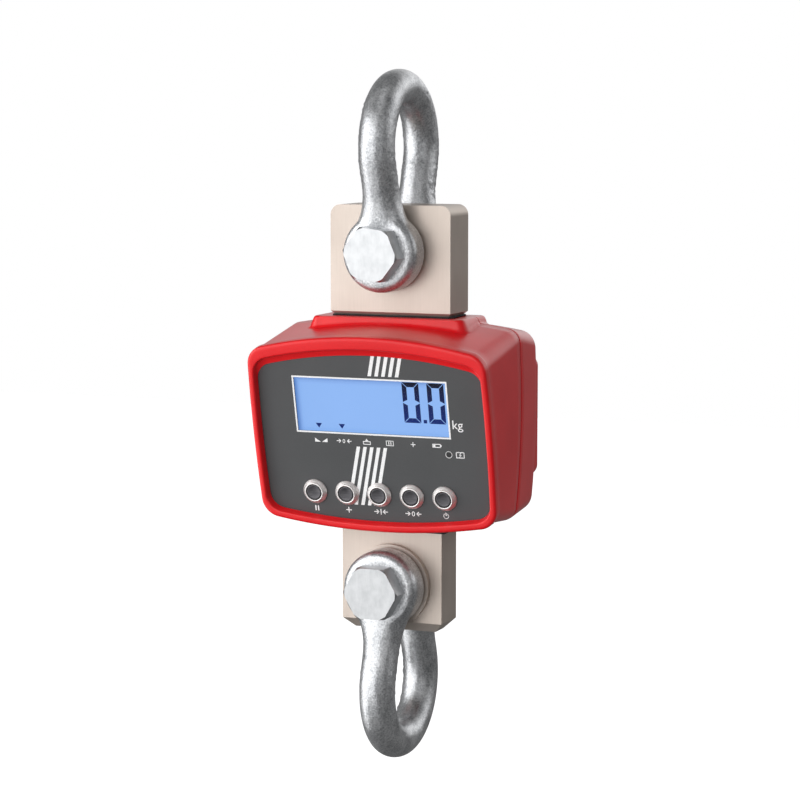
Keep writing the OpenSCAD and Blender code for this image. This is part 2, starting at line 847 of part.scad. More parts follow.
upper_bow();
upper_bolt();
upper_nut();
upper_split_pin();
load_cell();
strain_gauges();
gauge_covers();
cable_gland();
load_cell_cable();
front_housing();
rear_housing();
housing_gasket();
housing_screws();
upper_lug_seal();
lower_lug_seal();
mounting_brackets();
bracket_screws();
front_panel();
panel_studs();
display_window();
lcd_module();
backlight();
display_board();
board_spacers();
board_nuts();
main_board();
board_parts();
board_ribbon();
status_light();
button_bezels();
button_nuts();
button_switches();
hold_button();
memory_button();
tare_button();
zero_button();
power_button();
battery_tray();
battery_cells();
battery_lead();
battery_cover();
battery_cover_seal();
battery_cover_screws();
charging_socket();
charging_socket_nut();
lower_bow();
lower_bolt();
lower_nut();
lower_split_pin();
lower_spacers();
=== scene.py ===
import math

import bmesh
import bpy
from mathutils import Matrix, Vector, noise
from mathutils.bvhtree import BVHTree


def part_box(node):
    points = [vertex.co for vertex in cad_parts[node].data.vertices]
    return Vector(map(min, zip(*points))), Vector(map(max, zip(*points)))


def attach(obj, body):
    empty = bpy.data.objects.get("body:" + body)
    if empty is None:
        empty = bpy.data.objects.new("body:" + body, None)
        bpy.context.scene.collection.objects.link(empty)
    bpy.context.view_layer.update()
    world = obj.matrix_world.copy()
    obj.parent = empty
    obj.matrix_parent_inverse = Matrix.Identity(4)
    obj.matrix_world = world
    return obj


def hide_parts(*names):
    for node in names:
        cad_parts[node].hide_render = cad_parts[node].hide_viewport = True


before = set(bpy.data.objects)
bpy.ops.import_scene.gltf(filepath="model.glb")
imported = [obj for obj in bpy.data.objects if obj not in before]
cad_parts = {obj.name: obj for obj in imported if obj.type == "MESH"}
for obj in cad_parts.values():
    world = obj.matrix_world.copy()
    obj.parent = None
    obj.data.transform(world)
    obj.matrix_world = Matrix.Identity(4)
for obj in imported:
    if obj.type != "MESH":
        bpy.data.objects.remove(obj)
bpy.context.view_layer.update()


# ---- Shackle bows ----
# Each bow is one drop-forged steel bar, bent round a former and hot-dip galvanised.
# Its ends are flattened into eyes in the die, which leaves a trimmed flash line down both sides.
# The zinc skin is grainy, with brighter and darker patches where it cooled unevenly.

class Signal:
    """A value inside a material: arithmetic on it adds Math nodes to the same tree."""

    def __init__(self, tree, socket=None):
        self.tree = tree
        self.socket = socket

    def node(self, kind, settings, sockets, output=0):
        """Adds one node, its settings first and then the values or links of its sockets."""
        made = self.tree.nodes.new(kind)
        for name, setting in settings.items():
            if name == "stops":
                ramp = made.color_ramp
                ramp.elements.remove(ramp.elements[1])
                ramp.elements[0].position = setting[0][0]
                ramp.elements[0].color = (*setting[0][1], 1)
                for position, colour in setting[1:]:
                    ramp.elements.new(position).color = (*colour, 1)
            else:
                setattr(made, name, setting)
        for name, value in sockets.items():
            if isinstance(value, Signal):
                self.tree.links.new(value.socket, made.inputs[name])
            else:
                made.inputs[name].default_value = value
        return Signal(self.tree, made.outputs[output])

    def math(self, operation, *others):
        """A Math node with this value first."""
        return self.node("ShaderNodeMath", {"operation": operation}, dict(enumerate((self, *others))))

    def __add__(self, other):
        return self.math("ADD", other)

    def __sub__(self, other):
        return self.math("SUBTRACT", other)

    def __mul__(self, other):
        return self.math("MULTIPLY", other)

    def __truediv__(self, other):
        return self.math("DIVIDE", other)

    def __radd__(self, other):
        return self + other

    def __rsub__(self, other):
        return self * -1.0 + other

    def __rmul__(self, other):
        return self * other

    def into(self, shader, socket):
        self.tree.links.new(self.socket, shader.inputs[socket])


def new_finish(name, uniform):
    """A material with these uniform shader values, its shader, and its Object coordinates."""
    material = bpy.data.materials.new(name)
    material.use_nodes = True
    shader = material.node_tree.nodes["Principled BSDF"]
    for socket, value in uniform.items():
        shader.inputs[socket].default_value = value
    place = Signal(material.node_tree).node("ShaderNodeTexCoord", {}, {}, "Object")
    return material, shader, place


def grain(place, per_metre, detail=2.0, stretch=(1, 1, 1)):
    """Soft random values from 0 to 1, with features of about 1/per_metre metres."""
    spread = place.node("ShaderNodeMapping", {}, {"Vector": place, "Scale": stretch})
    sockets = {"Vector": spread, "Scale": per_metre, "Detail": detail}
    return place.node("ShaderNodeTexNoise", {}, sockets, "Fac")


def blend_colours(signal, stops):
    return signal.node("ShaderNodeValToRGB", {"stops": stops}, {"Fac": signal}, "Color")


def emboss(shader, height, depth, strength=1.0):
    """height, from 0 to 1, raises the surface by up to depth metres."""
    sockets = {"Height": height, "Distance": depth, "Strength": strength}
    height.node("ShaderNodeBump", {}, sockets, "Normal").into(shader, "Normal")


zinc, shader, place = new_finish("hot_dip_zinc", {"Metallic": 0.8, "Specular IOR Level": 0.5})
patches = grain(place, 90, 4.0, (1, 1, 0.6))
speckle = grain(place, 900, 3.0)
pits = grain(place, 330, 2.0)
crystals = place.node("ShaderNodeTexVoronoi", {}, {"Vector": place, "Scale": 420.0}, "Color")
tone = patches * 0.42 + speckle * 0.5 + crystals * 0.08
blend_colours(tone, [(0.36, (0.33, 0.34, 0.355)), (0.5, (0.55, 0.56, 0.575)),
                     (0.62, (0.74, 0.75, 0.765))]).into(shader, "Base Color")
(0.18 + patches * 0.16 + speckle * 0.14).into(shader, "Roughness")
emboss(shader, speckle * 0.35 + pits * patches * 0.65, 0.0009, 0.6)

PIN_TOP = -0.0904
PIN_BOTTOM = -0.2994
rod_radius = 0.01132
crown_radius = 0.0368
crown_height = 0.06475
flare_radius = 0.110
flare_angle = math.radians(20.53)
flare_height = 0.01327
leg_offset = 0.0275
eye_radius = 0.0245
eye_inner = 0.01675
eye_outer = 0.03625
bore_radius = 0.0113
swell_from = 0.043
swell_length = 0.030
jaw_face = eye_inner + 0.0001


def bow_path():
    """Stations from one eye over the crown to the other: y, z, half width and half thickness."""
    stations = []
    for step in range(17):
        turn = math.pi - flare_angle * step / 16
        y = leg_offset + flare_radius * (1 + math.cos(turn))
        z = flare_height + flare_radius * math.sin(turn)
        swell = max(0.0, (swell_from - z) / swell_length)
        stations.append((y - 0.001 * min(swell, 1), z, rod_radius + 0.0092 * swell ** 2.3,
                         rod_radius - 0.0013 * min(swell, 1) ** 1.5))
    crown = []
    for step in range(1, 48):
        turn = -flare_angle + (math.pi + 2 * flare_angle) * step / 48
        crown.append((crown_radius * math.cos(turn), crown_height + crown_radius * math.sin(turn),
                      rod_radius, rod_radius))
    other_leg = [(-y, z, wide, thick) for y, z, wide, thick in reversed(stations)]
    return stations + crown + other_leg


def skin_rings(shape, rings, closed=False):
    """Joins each ring of points to the next with four-sided faces, and back to the first if closed."""
    made = [[shape.verts.new(point) for point in ring] for ring in rings]
    pairs = list(zip(made, made[1:]))
    if closed:
        pairs.append((made[-1], made[0]))
    for first, second in pairs:
        for k in range(len(first)):
            after = (k + 1) % len(first)
            shape.faces.new((first[k], first[after], second[after], second[k]))
    return made


def turned_ring(shape, profile, place_point, sides):
    """A closed profile of (radius, depth) turned once round, each point placed by place_point."""
    rings = []
    for radius, depth in profile:
        turns = [2 * math.pi * k / sides for k in range(sides)]
        rings.append([place_point(radius * math.cos(t), radius * math.sin(t), depth) for t in turns])
    skin_rings(shape, rings, closed=True)


def solid_mesh(name, shape, smooth_below=40):
    """A mesh from the closed bmesh, faces outwards, smooth but for edges sharper than the angle."""
    bmesh.ops.remove_doubles(shape, verts=shape.verts, dist=1e-7)
    bmesh.ops.recalc_face_normals(shape, faces=shape.faces)
    mesh = bpy.data.meshes.new(name)
    shape.to_mesh(mesh)
    shape.free()
    mesh.shade_smooth()
    mesh.set_sharp_from_angle(angle=math.radians(smooth_below))
    return mesh


def with_modifiers(mesh, prepare):
    """The mesh after the modifiers that prepare adds to a passing object that holds it."""
    holder = bpy.data.objects.new("holder", mesh)
    bpy.context.scene.collection.objects.link(holder)
    prepare(holder)
    ready = holder.evaluated_get(bpy.context.evaluated_depsgraph_get())
    made = bpy.data.meshes.new_from_object(ready)
    bpy.data.objects.remove(holder)
    made.name = mesh.name
    return made


def put(name, mesh, material, body, slot, *stands_for):
    """Adds a finished piece: its material, the body it rides on and the CAD nodes it stands for, which it
    hides; slot is not used.
    """
    made = bpy.data.objects.new(name, mesh)
    bpy.context.scene.collection.objects.link(made)
    if not mesh.materials:
        mesh.materials.append(material)
    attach(made, body)
    if stands_for:
        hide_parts(*stands_for)
    return made


def merge_forging(holder):
    """Fuses the bar and its eyes to one skin and softens where they meet, as forging does."""
    merge = holder.modifiers.new("merge", "REMESH")
    merge.mode = "VOXEL"
    merge.voxel_size = 0.00105
    merge.use_smooth_shade = True
    ease = holder.modifiers.new("ease", "SMOOTH")
    ease.factor = 0.6
    ease.iterations = 9


def bow_mesh(name, pin_height, up):
    """A whole bow about the pin at this height; up is 1 with the crown on top, -1 with it below."""
    shape = bmesh.new()
    stations = bow_path()
    rings = []
    for k, (y, z, wide, thick) in enumerate(stations):
        before = stations[max(k - 1, 0)]
        after = stations[min(k + 1, len(stations) - 1)]
        along = Vector((0, after[0] - before[0], after[1] - before[1])).normalized()
        across = Vector((0, -along.z, along.y))
        ring = []
        for side in range(32):
            t = 2 * math.pi * side / 32
            ring.append(Vector((wide * math.cos(t), y, z)) + across * thick * math.sin(t))
        rings.append(ring)
    made = skin_rings(shape, rings)
    shape.faces.new(made[0])
    shape.faces.new(made[-1])
    rounding = 0.0055
    jaw_rounding = 0.003
    for side in (-1, 1):
        profile = [(bore_radius, eye_inner), (bore_radius, eye_outer)]
        for k in range(7):
            t = math.pi / 2 * k / 6
            profile.append((eye_radius - rounding * (1 - math.sin(t)),
                            eye_outer - rounding * (1 - math.cos(t))))
        for k in range(7):
            t = math.pi / 2 * k / 6
            profile.append((eye_radius - jaw_rounding * (1 - math.cos(t)),
                            eye_inner + jaw_rounding * (1 - math.sin(t))))
        turned_ring(shape, profile, lambda a, b, depth: Vector((a, side * depth, b)), 64)
    rough = with_modifiers(solid_mesh(name, shape), merge_forging)
    normals = [Vector(v.normal) for v in rough.vertices]
    for vertex, normal in zip(rough.vertices, normals):
        spot = vertex.co
        seeded = Vector((spot.x, spot.y * up, spot.z * up + pin_height))
        sink = 0.00007 + 0.00006 * noise.noise(seeded * 70)
        ridge = max(0.0, min(1.0, (abs(normal.x) - 0.86) / 0.1)) * max(0.0, min(1.0, spot.z / 0.02 - 1))
        lump = max(0.0, noise.noise(seeded * 520) + 0.12) * max(0.0, noise.noise(seeded * 60) + 0.25)
        spot += normal * (0.0011 * ridge * lump - sink)
        if spot.z < 0.040 and abs(spot.y) < jaw_face:
            spot.y = math.copysign(jaw_face, spot.y)
        vertex.co = Vector((spot.x, spot.y * up, spot.z * up + pin_height))
    rough.shade_smooth()
    return rough


put("upper_bow_forging", bow_mesh("upper_bow_forging", PIN_TOP, 1), zinc,
    "upper_shackle", "galvanised", "upper_bow")
put("lower_bow_forging", bow_mesh("lower_bow_forging", PIN_BOTTOM, -1), zinc,
    "lower_shackle", "galvanised", "lower_bow")


# ---- Shackle bolts, nuts and split pins ----
# The bolts and nuts are hexagon bar, turned and then bright plated, so their faces keep the lathe's rings.
# A split pin through each bolt's end keeps its nut from working loose.

def dress(node, material):
    """Gives a carried-over node its material in every slot."""
    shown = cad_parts[node]
    if not shown.material_slots:
        shown.data.materials.append(material)
    for held in shown.material_slots:
        held.material = material


def parts_of(place):
    """The x, y and z of the Object coordinates."""
    return [place.node("ShaderNodeSeparateXYZ", {}, {"Vector": place}, k) for k in range(3)]


bolt_plate, shader, place = new_finish("bright_plated_steel", {"Metallic": 1.0})
x, y, z = parts_of(place)
from_middle = (z - (PIN_TOP + PIN_BOTTOM) / 2).math("ABSOLUTE")
height = from_middle - (PIN_TOP - PIN_BOTTOM) / 2
radius = (x * x + height * height).math("SQRT")
lathe_rings = (radius * 9500.0).math("SINE") * 0.5 + 0.5
smears = grain(place, 160, 4.0)
scuffs = grain(place, 700, 3.0, (1, 1, 0.25))
blend_colours(smears * 0.7 + scuffs * 0.3, [(0.3, (0.40, 0.41, 0.42)), (0.62, (0.53, 0.54, 0.55))]
              ).into(shader, "Base Color")
(0.2 + smears * 0.2 + scuffs * 0.08).into(shader, "Roughness")
emboss(shader, lathe_rings * 0.35 + scuffs * 0.65, 0.00012, 0.4)
for node in ("upper_bolt", "upper_nut", "lower_bolt", "lower_nut"):
    dress(node, bolt_plate)

pin_wire, shader, place = new_finish("drawn_pin_wire", {"Metallic": 1.0})
drawn = grain(place, 500, 3.0, (1, 1, 0.1))
blend_colours(drawn, [(0.3, (0.40, 0.41, 0.43)), (0.7, (0.66, 0.67, 0.69))]).into(shader, "Base Color")
(0.3 + drawn * 0.2).into(shader, "Roughness")
emboss(shader, drawn, 0.0001, 0.4)
for node in ("upper_split_pin", "lower_split_pin"):
    dress(node, pin_wire)

row_tree = bpy.data.node_groups.new("row_of_like_pieces", "GeometryNodeTree")
row_tree.interface.new_socket("Geometry", in_out="INPUT", socket_type="NodeSocketGeometry")
row_count = row_tree.interface.new_socket("Count", in_out="INPUT", socket_type="NodeSocketInt")
row_step = row_tree.interface.new_socket("Step", in_out="INPUT", socket_type="NodeSocketVector")
row_finish = row_tree.interface.new_socket("Finish", in_out="INPUT", socket_type="NodeSocketMaterial")
row_tree.interface.new_socket("Geometry", in_out="OUTPUT", socket_type="NodeSocketGeometry")
inlet = row_tree.nodes.new("NodeGroupInput")
line = row_tree.nodes.new("GeometryNodeMeshLine")
single = row_tree.nodes.new("GeometryNodeGeometryToInstance")
spread = row_tree.nodes.new("GeometryNodeInstanceOnPoints")
joined = row_tree.nodes.new("GeometryNodeRealizeInstances")
coloured = row_tree.nodes.new("GeometryNodeSetMaterial")
outlet = row_tree.nodes.new("NodeGroupOutput")
for start, end in (
    (inlet.outputs["Count"], line.inputs["Count"]),
    (inlet.outputs["Step"], line.inputs["Offset"]),
    (inlet.outputs["Geometry"], single.inputs["Geometry"]),
    (line.outputs["Mesh"], spread.inputs["Points"]),
    (single.outputs["Instances"], spread.inputs["Instance"]),
    (spread.outputs["Instances"], joined.inputs["Geometry"]),
    (joined.outputs["Geometry"], coloured.inputs["Geometry"]),
    (inlet.outputs["Finish"], coloured.inputs["Material"]),
    (coloured.outputs["Geometry"], outlet.inputs["Geometry"]),
):
    row_tree.links.new(start, end)


def in_a_row(mesh, count, step, material):
    """The mesh repeated count times, each a step on from the last."""
    def add_row(holder):
        row = holder.modifiers.new("row", "NODES")
        row.node_group = row_tree
        row[row_count.identifier] = count
        row[row_step.identifier] = step
        row[row_finish.identifier] = material
    return with_modifiers(mesh, add_row)


thread_pitch = 0.00175
thread_start = 0.0486
for name, pin_height, body in (("upper_bolt_thread", PIN_TOP, "upper_shackle"),
                               ("lower_bolt_thread", PIN_BOTTOM, "lower_shackle")):
    shape = bmesh.new()
    crest = [(0.0105, 0.0), (0.01098, 0.0002), (0.01135, 0.00072), (0.01135, 0.00092),
             (0.01098, 0.0015), (0.0105, 0.0017)]
    turned_ring(shape, crest, lambda a, b, depth: Vector((a, thread_start + depth, pin_height + b)), 72)
    thread = in_a_row(solid_mesh(name, shape, 20), 4, (0, thread_pitch, 0), bolt_plate)
    put(name, thread, bolt_plate, body, "bolt_steel")


# ---- Load cell ----
# One block of alloy steel, milled to a wide upper lug, a sensing neck and a bevelled lower lug.
# It is satin nickel plated, which gives the warm pale colour and faint milling marks along its length.
# The two spacer rings beside the lower lug are plated with it.

nickel, shader, place = new_finish("satin_nickel", {"Metallic": 0.6, "Specular IOR Level": 0.4})
milling = grain(place, 900, 3.0, (1, 1, 0.05))
clouding = grain(place, 28, 3.0)
shade = clouding * 0.75 + milling * 0.25
blend_colours(shade, [(0.3, (0.50, 0.432, 0.38)), (0.65, (0.60, 0.525, 0.465))]).into(shader, "Base Color")
(0.30 + clouding * 0.12 + milling * 0.06).into(shader, "Roughness")
emboss(shader, milling * 0.7 + grain(place, 2200, 2.0) * 0.3, 0.00012, 0.35)
dress("load_cell", nickel)
dress("lower_spacers", nickel)

gauge_foil, shader, place = new_finish("gauge_foil", {"Roughness": 0.35})
x, y, z = parts_of(place)
meander = (x * 12000.0).math("SINE") * 0.5 + 0.5
blend_colours(meander, [(0.4, (0.72, 0.42, 0.10)), (0.6, (0.86, 0.62, 0.30))]).into(shader, "Base Color")
(0.3 + meander * 0.4).into(shader, "Metallic")
dress("strain_gauges", gauge_foil)


# ---- Front housing ----
# A die-cast aluminium shell, powder coated in red, with a raised rim round the sunk panel.
# A flat-topped boss on it meets the upper lug. The rear shell closes it at a joint behind the lug.

red_coat, shader, place = new_finish(
    "red_powder_coat", {"Coat Roughness": 0.28, "Specular IOR Level": 0.15, "Coat IOR": 1.38})
flow = grain(place, 30, 2.0)
peel = grain(place, 620, 2.0)
fleck = grain(place, 1900, 2.0)
tone = flow * 0.6 + fleck * 0.4
blend_colours(tone, [(0.3, (0.74, 0.006, 0.011)), (0.7, (0.90, 0.010, 0.015))]).into(shader, "Base Color")
(0.30 + fleck * 0.12).into(shader, "Roughness")
(0.75 + flow * 0.2).into(shader, "Coat Weight")
emboss(shader, peel * 0.8 + fleck * 0.2, 0.00012, 0.35)

MM = 0.001
TILT = math.radians(12.75)
RIM_REACH = 48.2
RIM_MIDDLE = -200.5
JOINT_MIDDLE = -196
HALF_WIDTH = 79.3
SIDE_BULGE = 1160
JOINT_SIDE_BULGE = 700
TOP_BULGE = 295
JOINT_TOP_BULGE = 420
BOTTOM_BULGE = 390


def on_face(u, v, w):
    """A point of the tilted front face in metres, from mm across, up, and inwards from the rim."""
    return Vector((u, w * math.cos(TILT) - v * math.sin(TILT) - RIM_REACH,
                   w * math.sin(TILT) + v * math.cos(TILT) + RIM_MIDDLE)) * MM


def circles_meet(first, first_r, second, second_r, towards):
    """The crossing of two circles that lies furthest along towards."""
    gap = second - first
    along = (gap.length_squared + first_r ** 2 - second_r ** 2) / (2 * gap.length)
    aside = math.sqrt(max(first_r ** 2 - along ** 2, 0))
    line = gap.normalized()
    normal = Vector((-line.y, line.x))
    return max((first + line * along + normal * s * aside for s in (-1, 1)), key=towards.dot)


def arc_points(centre, radius, start, end, count):
    if end < start:
        end += 2 * math.pi
    turns = [start + (end - start) * k / count for k in range(count)]
    return [centre + Vector((math.cos(t), math.sin(t))) * radius for t in turns]


def bulged_outline(half_w, side_r, side_at, top, top_r, bottom, bottom_r, corner, inset):
    """Four bulging sides with round corners, anticlockwise from the lower right, in mm."""
    sides = [(Vector((half_w - side_r, side_at)), side_r), (Vector((0, top - top_r)), top_r),
             (Vector((side_r - half_w, side_at)), side_r), (Vector((0, bottom + bottom_r)), bottom_r)]
    towards = [Vector((1, -1)), Vector((1, 1)), Vector((-1, 1)), Vector((-1, -1))]
    hubs = []
    for k in range(4):
        (first, first_r), (second, second_r) = sides[k - 1], sides[k]
        hubs.append(circles_meet(first, first_r - corner, second, second_r - corner, towards[k]))
    points = []
    for k in range(4):
        centre, radius = sides[k]
        from_side = hubs[k] - sides[k - 1][0]
        to_side = hubs[k] - centre
        to_next = hubs[(k + 1) % 4] - centre
        start, middle, end = [math.atan2(d.y, d.x) for d in (from_side, to_side, to_next)]
        points += arc_points(hubs[k], corner - inset, start, middle, 12)
        points += arc_points(centre, radius - inset, middle, end, 26 if k % 2 == 0 else 44)
    return points


def face_ring(kind, inset, w):
    """One of the front face's three outlines, drawn in by inset and at depth w."""
    half_w, top, bottom, corner = {"rim": (HALF_WIDTH, 61.9, -64.4, 12.5),
                                   "opening": (HALF_WIDTH - 4, 54, -59.6, 11),
                                   "panel": (HALF_WIDTH - 4.7, 49.4, -58.8, 10.5)}[kind]
    points = bulged_outline(half_w, SIDE_BULGE, 0, top, TOP_BULGE, bottom, BOTTOM_BULGE, corner, inset)
    return [on_face(p.x, p.y, w) for p in points]


def joint_ring(inset, y, back=0.0):
    """The shells' outline in the plane at y; back runs from 0 at the joint to 1 at the rear."""
    points = bulged_outline(HALF_WIDTH, JOINT_SIDE_BULGE, 11.5, 64.6 - 2.2 * back, JOINT_TOP_BULGE, -67.3,
                            BOTTOM_BULGE, 9.5 + 4 * back, inset)
    return [Vector((p.x, y, p.y + JOINT_MIDDLE)) * MM for p in points]


def between(first, second, share):
    return [a.lerp(b, share) for a, b in zip(first, second)]


def round_boss(shape, surface, y_open, y_end):
    """The flat-topped boss under the upper lug, from the joint to y_end, filleted to the shell."""
    top = -130.8
    facing = 1 if y_end > y_open else -1
    corner = 5.0
    half = 50.0
    top_width = 9.0
    lean = 0.45
    fillet = 3.2
    path = []
    for k in range(10):
        path.append((half, y_open + (y_end - facing * corner - y_open) * k / 10, 1.0, 0.0))
    for k in range(9):
        t = math.pi / 2 * k / 8
        path.append((half - corner * (1 - math.cos(t)), y_end - facing * corner * (1 - math.sin(t)),
                     math.cos(t), facing * math.sin(t)))
    across = [(half - corner - (half - corner) * k / 14, y_end, 0.0, facing) for k in range(1, 15)]
    path += across
    path += [(-px, py, -nx, ny) for px, py, nx, ny in reversed(path[:-1])]
    sections = []
    for px, py, nx, ny in path:
        slope = lean * abs(nx)

        def height_at(out):
            spot = Vector((px + nx * out, py + ny * out, 0)) * MM
            hit = surface.ray_cast(spot, Vector((0, 0, -1)))[0]
            return hit.z / MM if hit else top - 12

        foot = height_at(slope * 5)
        room = max(0.25, min(1.0, (top - foot - 1.0) / 3.4))
        side_end = foot + 2.6 * room
        drop = slope * (top - side_end)
        section = [(-1.1, top), (-0.35, top - 0.3), (slope, top - 1.1), (drop, side_end)]
        for out, rise in ((0.35, 1.3), (1.0, 0.5), (2.0, 0.1), (fillet, -0.12)):
            reach = drop + out * room
            section.append((reach, height_at(reach) + rise * room))
        section.append((reach, height_at(reach) - 1.6))
        ring = [Vector((px + nx * out, py + ny * out, level)) * MM for out, level in section]
        inner_x = math.copysign(min(abs(px), half - top_width), px)
        inner_y = facing * min(facing * py, facing * y_end - top_width)
        ring.insert(0, Vector((inner_x, inner_y, top)) * MM)
        ring.append(Vector((inner_x, inner_y, top - 14)) * MM)
        sections.append(ring)
    made = skin_rings(shape, sections)
    shape.faces.new(made[0])
    shape.faces.new(made[-1])


shape = bmesh.new()
neck = face_ring("rim", 0.9, 7.7)
joint = joint_ring(0, 4.4)
rings = [
    face_ring("panel", 2.5, 9.5), face_ring("panel", 2.5, 7.0), face_ring("panel", -0.2, 7.0),
    face_ring("panel", -0.2, 5.2), face_ring("panel", 0.1, 4.6), face_ring("opening", 0.35, 3.0),
    face_ring("opening", 0.1, 1.4), face_ring("opening", -0.15, 0.6), face_ring("opening", -0.55, 0.15),
    face_ring("opening", -1.1, 0.0), face_ring("rim", 2.3, 0.0), face_ring("rim", 1.5, 0.08),
    face_ring("rim", 0.85, 0.32), face_ring("rim", 0.35, 0.75), face_ring("rim", 0.06, 1.3),
    face_ring("rim", 0.0, 2.0), face_ring("rim", 0.0, 5.9), face_ring("rim", 0.1, 6.5),
    face_ring("rim", 0.45, 7.0), face_ring("rim", 0.8, 7.25), neck,
]
rings += [between(neck, joint, k / 8) for k in range(1, 9)]
rings += [joint_ring(0.15, 4.8), joint_ring(0.55, 5.0), joint_ring(3.0, 5.0),
          between(face_ring("rim", 3.9, 10.5), joint_ring(3.0, 4.4), 0.5), face_ring("rim", 3.9, 10.5)]
skin_rings(shape, rings, closed=True)
bmesh.ops.recalc_face_normals(shape, faces=shape.faces)
round_boss(shape, BVHTree.FromBMesh(shape), 5.0, -22.0)
put("front_shell", solid_mesh("front_shell", shape, 38), red_coat,
    "scale_body", "red_coat", "front_housing")


# ---- Rear housing ----
# The matching rear shell of the same casting and coat, drafted towards its flat back.
# Four socket screws in counterbores pull it onto the front shell through a thin gasket.

shape = bmesh.new()
rings = [joint_ring(8.8, 39.0, 1), joint_ring(4.8, 38.0, 1), joint_ring(3.0, 5.8),
         joint_ring(0.55, 5.8), joint_ring(0.15, 5.98), joint_ring(0.0, 6.4)]
rings += [joint_ring(1.8 * k / 6, 6.4 + 31.6 * k / 6, k / 6) for k in range(1, 7)]
rings += [joint_ring(1.8 + 4 * (1 - math.cos(t)), 38 + 4 * math.sin(t), 1)
          for t in [math.pi / 2 * k / 7 for k in range(1, 8)]]
rings.append(joint_ring(9.0, 42.0, 1))
made = skin_rings(shape, rings)
shape.faces.new(made[0])
shape.faces.new(made[-1])
bmesh.ops.recalc_face_normals(shape, faces=shape.faces)
rear_surface = BVHTree.FromBMesh(shape)
rear_plain = solid_mesh("rear_shell", shape, 38)

shape = bmesh.new()
screw_x = 62
upper_screw = -149.5
lower_screw = -246
for x in (-screw_x, screw_x):
    for z in (upper_screw, lower_screw):
        profile = [(0.0005, 36), (4.0, 36), (4.0, 41.6), (4.5, 42.05), (4.5, 43), (0.0005, 43)]
        turned_ring(shape, profile, lambda a, b, depth: Vector((x + a, depth, z + b)) * MM, 32)
cutter = bpy.data.objects.new("screw_wells", solid_mesh("screw_wells", shape))
bpy.context.scene.collection.objects.link(cutter)


def sink_wells(holder):
    sink = holder.modifiers.new("wells", "BOOLEAN")
    sink.operation = "DIFFERENCE"
    sink.solver = "EXACT"
    sink.object = cutter


rear_drilled = with_modifiers(rear_plain, sink_wells)
bpy.data.objects.remove(cutter)
shape = bmesh.new()
shape.from_mesh(rear_drilled)
round_boss(shape, rear_surface, 5.8, 22.0)
put("rear_shell", solid_mesh("rear_shell", shape, 38), red_coat,
    "scale_body", "red_coat", "rear_housing")

screw_zinc, shader, place = new_finish("zinc_plated_screws", {"Metallic": 1.0})
rub = grain(place, 420, 3.0)
blend_colours(rub, [(0.3, (0.42, 0.43, 0.45)), (0.7, (0.72, 0.73, 0.75))]).into(shader, "Base Color")
(0.24 + rub * 0.2).into(shader, "Roughness")
emboss(shader, rub, 0.0001, 0.35)
for node in ("housing_screws", "mounting_brackets", "bracket_screws", "gauge_covers", "cable_gland",
             "panel_studs", "board_spacers", "board_nuts", "button_nuts", "battery_cover_screws",
             "charging_socket_nut"):
    dress(node, screw_zinc)

rubber, shader, place = new_finish("moulded_rubber", {"Specular IOR Level": 0.3})
bloom = grain(place, 260, 4.0)
blend_colours(bloom, [(0.3, (0.012, 0.012, 0.013)), (0.75, (0.040, 0.040, 0.042))]
              ).into(shader, "Base Color")
(0.62 + bloom * 0.25).into(shader, "Roughness")
emboss(shader, bloom, 0.0002, 0.4)
for node in ("housing_gasket", "upper_lug_seal", "lower_lug_seal", "battery_cover_seal",
             "load_cell_cable", "battery_lead"):
    dress(node, rubber)


# ---- Front panel and its print ----
# A stiff dark grey plate with a fine velvet texture, seated on a ledge inside the rim.
# Its frame line, bars and small signs are screen printed in white on the surface.

panel_velvet, shader, place = new_finish("velvet_panel_film", {"Specular IOR Level": 0.35})
velvet = grain(place, 2600, 2.0)
drift = grain(place, 22, 2.0)
blend_colours(velvet * 0.5 + drift * 0.5, [(0.3, (0.068, 0.070, 0.073)), (0.7, (0.086, 0.088, 0.091))]
              ).into(shader, "Base Color")
(0.52 + velvet * 0.16).into(shader, "Roughness")
emboss(shader, velvet, 0.0001, 0.35)
dress("front_panel", panel_velvet)

white_ink, shader, place = new_finish("white_screen_ink", {"Specular IOR Level": 0.4})
mesh_marks = grain(place, 1500, 2.0)
blend_colours(mesh_marks, [(0.25, (0.90, 0.90, 0.91)), (0.6, (0.99, 0.99, 0.99))]
              ).into(shader, "Base Color")
(0.42 + mesh_marks * 0.15).into(shader, "Roughness")
emboss(shader, mesh_marks, 0.00005, 0.3)


def stamp(shape, outline, w_top, w_base):
    """A flat closed shape, its outline in mm across and up the face, between two depths."""
    upper = [shape.verts.new(on_face(u, v, w_top)) for u, v in outline]
    lower = [shape.verts.new(on_face(u, v, w_base)) for u, v in outline]
    shape.faces.new(upper)
    shape.faces.new(list(reversed(lower)))
    for k in range(len(outline)):
        after = (k + 1) % len(outline)
        shape.faces.new((upper[k], lower[k], lower[after], upper[after]))


def stroke(points, width):
    """Outlines of the straight bars that draw a line of this width through the points."""
    bars = []
    for (u0, v0), (u1, v1) in zip(points, points[1:]):
        along = Vector((u1 - u0, v1 - v0)).normalized() * width / 2
        side = Vector((-along.y, along.x))
        start = Vector((u0, v0)) - along * 0.6
        end = Vector((u1, v1)) + along * 0.6
        bars.append([tuple(start - side), tuple(end - side), tuple(end + side), tuple(start + side)])
    return bars


def loop_points(u, v, radius, start, end, count=28):
    turns = [math.radians(start + (end - start) * k / count) for k in range(count + 1)]
    return [(u + radius * math.cos(t), v + radius * math.sin(t)) for t in turns]


def box_line(u, v, wide, high):
    return [(u - wide / 2, v - high / 2), (u + wide / 2, v - high / 2), (u + wide / 2, v + high / 2),
            (u - wide / 2, v + high / 2), (u - wide / 2, v - high / 2)]


